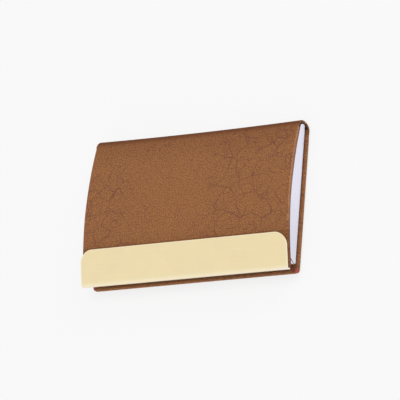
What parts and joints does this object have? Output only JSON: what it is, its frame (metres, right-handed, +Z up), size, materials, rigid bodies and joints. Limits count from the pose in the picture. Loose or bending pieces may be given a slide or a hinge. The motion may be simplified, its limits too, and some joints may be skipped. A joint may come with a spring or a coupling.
{
  "type": "card holder",
  "caption": "Leather-covered card case with an arched flap on a soft half-round spine, a pressed steel card tray and a gilt metal plate on the flap's edge.",
  "frame": {"origin": "centre of the bounding box's bottom, on the outer face of the back panel", "axes": "+X across the case, +Y from the mouth to the leather spine, +Z up out of the back panel; closed, lying on its back"},
  "size_m": [0.095, 0.0634, 0.0134],
  "materials": {
    "leather": "fine grained brown, low sheen",
    "red_board": "dyed red fibreboard",
    "flap_board": "springy fibreboard",
    "lining": "black brushed cloth",
    "tape": "double-sided tape",
    "tray_steel": "polished stainless steel",
    "gilt_metal": "satin pale gold",
    "magnet": "nickel plated"
  },
  "bodies": {
    "back": {"back_board": "red_board", "back_leather": "leather", "back_lining": "lining", "tray_tape": "tape", "tray_base": "tray_steel", "tray_front": "tray_steel"},
    "spine": {"spine_leather": "leather", "spine_lining": "lining"},
    "flap": {"flap_board": "flap_board", "flap_leather": "leather", "flap_lining": "lining", "closure_plate": "gilt_metal", "magnet_left": "magnet", "magnet_right": "magnet"}
  },
  "joints": [
    {"name": "spine_fold", "type": "hinge", "parent": "back", "child": "spine", "pos_m": [0, 0.03011, 0.00118], "axis": [-1, 0, 0], "range_deg": [0, 82.62]},
    {"name": "flap_fold", "type": "hinge", "parent": "spine", "child": "flap", "pos_m": [0, 0.03092, 0.0074], "axis": [-1, 0, 0], "range_deg": [0, 82.62]}
  ],
  "couplings": [
    {"joint": "flap_fold", "follows": "spine_fold", "ratio": 1}
  ]
}
